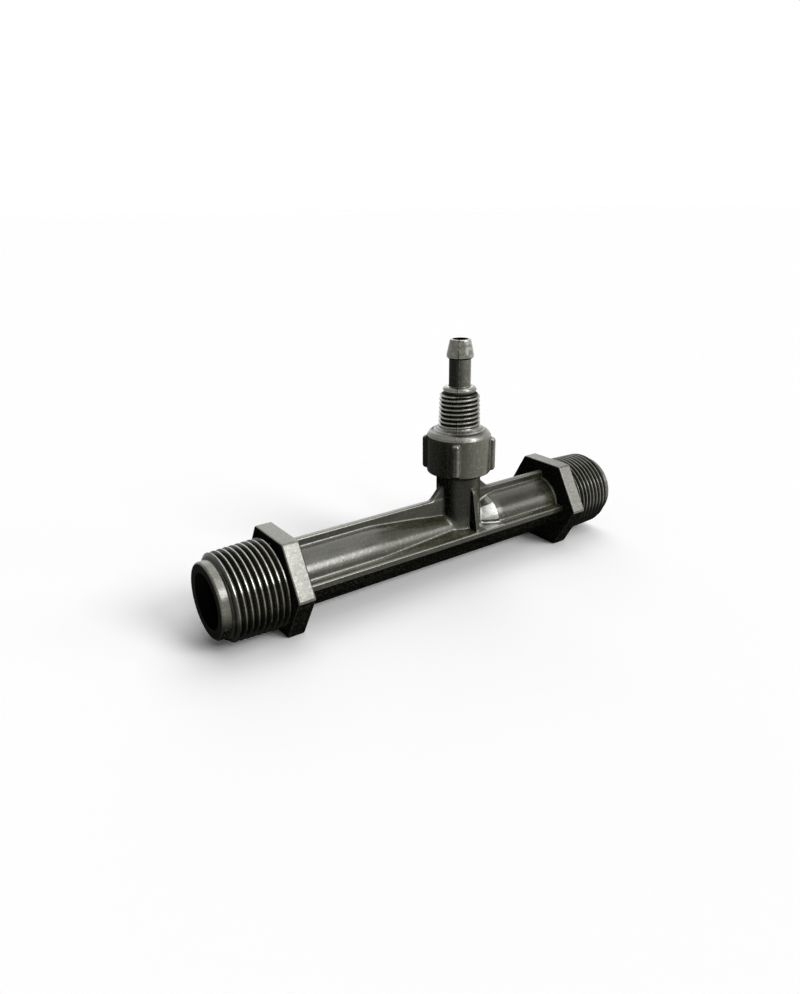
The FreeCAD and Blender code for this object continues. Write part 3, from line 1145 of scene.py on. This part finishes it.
def capFinish(at):
    # Fine rings run round the crown. The crown's edge and rings, the lug tops, the collar's edge and the
    # barb's ends get painted highlights, and the barb's right side and the collar get painted highlights
    # mixed with wear
    edge = cap["edgeHeight"]
    collar = port["start"] + port["length"] + port["grooveLength"]
    stem = collar + port["collarLength"]
    barb = stem + port["stemLength"]
    crown = between(at.up, edge - 0.6, cap["baseTop"] - 0.3)
    crest = at.fromSuction - port["crest"] + (at.up - port["start"]) * port["taper"]
    threaded = between(at.up, port["start"] + 0.5, port["start"] + port["length"], 0.1)
    onBarb = at.up.fade(barb, barb + 0.1)
    onCollar = between(at.up, collar, stem, 0.1)
    rings = at.bands(at.fromSuction, 1.7)
    wear = at.noise(0.9, 4.0).fade(0.40, 0.58)
    # Faces turned to the right get more painted highlight and coat, so that side reads brighter
    towardsRight = at.facingX.fade(-0.5, 0.1)

    # The mould parts in a plane through two lugs: a fine step, with painted shade on one side and a painted
    # highlight on the other
    turn = math.radians(cap["lugAngle"])
    fromSeam = at.y * math.cos(turn) - at.along * math.sin(turn)
    aboveSkirt = at.up.fade(edge - 0.5, edge)
    onStem = between(at.up, stem + 0.6, barb - 0.3, 0.2)
    broken = at.noise(0.8, 3.0).fade(0.44, 0.54) * (1 - onStem * 0.7)
    seamShadeSide = between(fromSeam, 0.02, 0.22, 0.1) * aboveSkirt * (0.1 + broken * 0.9)
    seamHighlightSide = between(fromSeam, -0.28, -0.04, 0.1) * aboveSkirt * (0.1 + wear * 0.6)

    # A painted highlight round the crown's edge
    ring = between(at.up, edge - 0.1, edge + 0.45, 0.2) * at.fromSuction.fade(9.0, 9.6) * 0.4
    lugTopHighlights = at.facingZ.fade(0.3, 0.7) * at.fromSuction.fade(10.5, 10.8) * 0.7
    lugEdges = at.fromSuction.fade(11.3, 11.6) * (1 - aboveSkirt) * wear * 0.4
    barbWearAndHighlight = onBarb * (wear * 0.84 + 0.14) * (towardsRight + 0.4).low(1.3)
    # A painted highlight on the collar's lowest band
    barbEndHighlights = between(at.up, barb, barb + 0.7, 0.1) * 0.7
    collarEdge = between(at.up, collar, collar + 0.3, 0.1) * 0.6
    crownRingHighlights = crown * rings.fade(0.5, 0.7) * 0.15
    collarWearAndHighlight = collarEdge.high(onCollar * wear * 0.3)
    paintedHighlightAndWear = highest(ring, lugTopHighlights, lugEdges, seamHighlightSide, crownRingHighlights, barbWearAndHighlight, barbEndHighlights, collarWearAndHighlight)

    neck = 1 - at.fromSuction.fade(7.8, 8.4)
    crownCoat = crown * (0.2 + rings.fade(0.38, 0.6) * (neck * 0.5 + 0.5))
    collarTop = onCollar * at.up.fade(collar + 0.4, collar + 0.8)
    # The coat is thinner on left-facing faces: painted shade by side
    polished = crownCoat.high(collarTop) * (0.45 + towardsRight * 0.55)
    polished = polished.high(threaded * crest.fade(-0.55, -0.2)).high(onBarb * towardsRight * 0.5)

    skirtAndStem = (1 - crown) * (1 - onBarb) * (1 - onCollar) * (1 - threaded)
    boreShade = 1 - at.fromSuction.fade(port["lowerBoreRadius"] - 0.8, port["boreRadius"] + 0.2)
    slope = at.facingZ.fade(0.72, 0.84) * at.facingX.fade(-0.5, -0.35) * (1 - at.facingX.fade(0.0, 0.3))
    # Painted shade: left-facing sides, undersides, thread roots, the bore, the seam's one side and dark zones
    # on the crown's slope and between its rings
    paintedShade = highest(
        (-at.facingX).fade(0.1, 0.95) * skirtAndStem * 0.9,
        (-at.facingZ).fade(0.15, 0.45),
        threaded * (-crest).fade(0.5, 0.85) * 0.92,  # thread roots
        boreShade,
        seamShadeSide * 0.8,
        crown * slope * (1 - neck * 0.8) * (0.82 - rings.fade(0.5, 0.65) * 0.3),
        crown * neck * (1 - rings.fade(0.3, 0.45)) * 0.35,
    )
    return {
        "polished": polished,
        "paintedHighlightAndWear": paintedHighlightAndWear,
        "paintedShade": paintedShade,
        "deep": boreShade,
        "raised": rings * crown * 3.0 + (seamHighlightSide - seamShadeSide) * 0.8,
        "paintedSheen": 0.0,
    }


def plain(plan, colour, roughness, height, metallic=0.0):
    # A finish of one kind all over, with a fine relief
    bump = plan.add("ShaderNodeBump", links={"Strength": 0.3, "Distance": 0.03 * mm, "Height": height})
    finish = {"Base Color": colour, "Roughness": roughness, "Metallic": metallic, "Normal": bump}
    return plan.add("ShaderNodeBsdfPrincipled", links=finish)


def rubber(plan):
    # Moulded rubber: a soft bloom in patches, and the fine flash line round its outside
    at = Surface(plan)
    bloom = at.noise(0.5).fade(0.4, 0.7)
    grain = at.noise(5.0, 3.0)
    middle = (ringLow.z + ringHigh.z) / 2 - axisZ
    flash = 1 - abs(at.up - middle).fade(0.03, 0.1)
    colour = at.blend(bloom, (0.012, 0.012, 0.012), (0.028, 0.028, 0.029))
    return plain(plan, colour, 0.45 + bloom * 0.2 + grain * 0.1, grain * 0.5 + flash)


def ballPlastic(plan):
    # White acetal: slightly clouded, with fine turning rings and a rubbed belt where it meets its seat
    at = Surface(plan)
    cloud = at.noise(0.4, 3.0)
    rings = at.bands(at.up, 9.0)
    centre = (ballLow.z + ballHigh.z) / 2 - axisZ
    belt = between(at.up - centre, 1.5, 2.4, 0.2)
    clouded = at.blend(cloud, (0.70, 0.70, 0.66), (0.84, 0.84, 0.81))
    colour = at.blend(belt * 0.5, clouded, (0.52, 0.51, 0.47))
    return plain(plan, colour, 0.2 + rings * 0.15 + belt * 0.2, rings)


def springSteel(plan):
    # Drawn wire: fine streaks, slightly darker in patches
    at = Surface(plan)
    drawn = at.bands(at.fromSuction, 30.0)
    patches = at.noise(0.7)
    colour = at.blend(patches, (0.42, 0.41, 0.40), (0.66, 0.66, 0.67))
    return plain(plan, colour, 0.18 + drawn * 0.2 + patches * 0.1, drawn, metallic=1.0)


bodyPlastic = material("bodyPlastic", lambda plan: mouldedBlack(plan, bodyFinish, (0.12, 1.0, 1.0)))
capPlastic = material("capPlastic", lambda plan: mouldedBlack(plan, capFinish, (1.0, 1.0, 0.2)))
ringRubber = material("rubber", rubber)
whiteBall = material("ballPlastic", ballPlastic)
wireSteel = material("springSteel", springSteel)

print("scene: injector body")
bodyMesh = fuse(
    "injectorBody",
    barrelSkin(),
    [hexagon(-1), hexagon(1), *spigot(-1), *spigot(1), bossThread()],
    [flowPassage(), valveChamber()],
)
finishPiece("injectorBody", bodyMesh, "body", "injector_body", bodyPlastic)

print("scene: suction cap")
capMesh = fuse("suctionCap", capSkin(), [portThread(), stemAndBarb()], [capSocket(), capPassage()])
finishPiece("suctionCap", capMesh, "cap", "suction_cap", capPlastic)

print("scene: valve parts")
finishPiece("seatRing", seatRing(), "ring", "seat_o_ring", ringRubber)
finishPiece("checkBall", checkBall(), "ball", "check_ball", whiteBall)
coil = finishPiece("checkSpring", checkSpring(), "body", "check_spring", wireSteel)
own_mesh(coil)

# Camera

print("scene: camera and light")
# The view that puts both hexagons and the boss's axis where the photo has them: degrees, and millimetres
photo = {
    "azimuth": -35.203,
    "elevation": 21.035,
    "roll": -0.772,
    "place": (-137.80, -179.96, 114.87),
    "lens": 27.287,
}


def setCamera():
    azimuth = math.radians(photo["azimuth"])
    elevation = math.radians(photo["elevation"])
    level = math.cos(elevation)
    back = Vector((math.sin(azimuth) * level, -math.cos(azimuth) * level, math.sin(elevation)))
    right = Vector((math.cos(azimuth), math.sin(azimuth), 0))
    roll = Matrix.Rotation(math.radians(photo["roll"]), 3, "Z")
    axes = roll.transposed() @ Matrix((right, back.cross(right), back))
    lens = bpy.data.cameras.new("camera")
    lens.lens = photo["lens"]
    lens.clip_start = 0.005
    thing = bpy.data.objects.new("camera", lens)
    thing.matrix_world = Matrix.Translation(Vector(photo["place"]) * mm) @ axes.transposed().to_4x4()
    bpy.context.scene.collection.objects.link(thing)
    bpy.context.scene.camera = thing


setCamera()


lamps = {
    "key": {"towards": (0.32, -0.765, 0.56), "width": 24, "light": 1.5},
    "right": {"towards": (0.683, -0.629, 0.377), "width": 16, "light": 0.22},
    "front": {"towards": (-0.122, -0.755, 0.643), "width": 10, "light": 0.18},
    "middle": {"towards": (0.22, -0.45, 0.87), "width": 30, "light": 0.77},
    "above": {"towards": (0.35, 0.2, 0.92), "width": 50, "light": 0.97},
    "rear": {"towards": (0.37, 0.80, 0.45), "width": 44, "light": 0.42},
}
# How much the world lights the object, how bright it looks, and how pale the floor is
surround = {"lit": 0.12, "shown": 1.0, "floor": 0.985}


def addLamps():
    # Each lamp is a soft disc, so many degrees wide, that gives this much light to a surface facing it
    for name, chosen in lamps.items():
        lamp = bpy.data.lights.new(name, "SUN")
        lamp.energy = chosen["light"]
        lamp.angle = math.radians(chosen["width"])
        thing = bpy.data.objects.new(name, lamp)
        thing.matrix_world = Vector(chosen["towards"]).to_track_quat("Z", "Y").to_matrix().to_4x4()
        bpy.context.scene.collection.objects.link(thing)


addLamps()


def floorRecipe(plan):
    shade = surround["floor"]
    return plan.add("ShaderNodeBsdfDiffuse", links={"Color": (shade, shade, shade, 1)})


def floor():
    mesh = bpy.data.meshes.new("floor")
    half = 30.0  # in metres, so that its edges are never seen
    corners = [(-half, -half, 0), (half, -half, 0), (half, half, 0), (-half, half, 0)]
    mesh.from_pydata(corners, [], [(0, 1, 2, 3)])
    thing = place("floor", mesh)
    mesh.materials.append(material("floor", floorRecipe))


floor()


def addWorld():
    # White to the camera and to glossy surfaces, and dim as a light
    world = bpy.data.worlds.new("studio")
    bpy.context.scene.world = world
    world.use_nodes = True
    world.node_tree.nodes.clear()
    plan = Plan(world.node_tree)
    ray = plan.add("ShaderNodeLightPath")
    seen = (ray.out("Is Camera Ray") + ray.out("Is Glossy Ray") + ray.out("Is Transmission Ray")).low(1)
    white = (1, 1, 1, 1)
    lit = plan.add("ShaderNodeBackground", links={"Color": white, "Strength": surround["lit"]})
    shown = plan.add("ShaderNodeBackground", links={"Color": white, "Strength": surround["shown"]})
    mixed = plan.add("ShaderNodeMixShader", links={0: seen, 1: lit, 2: shown})
    plan.add("ShaderNodeOutputWorld", links={"Surface": mixed})


addWorld()

bpy.context.scene.view_settings.view_transform = "Standard"
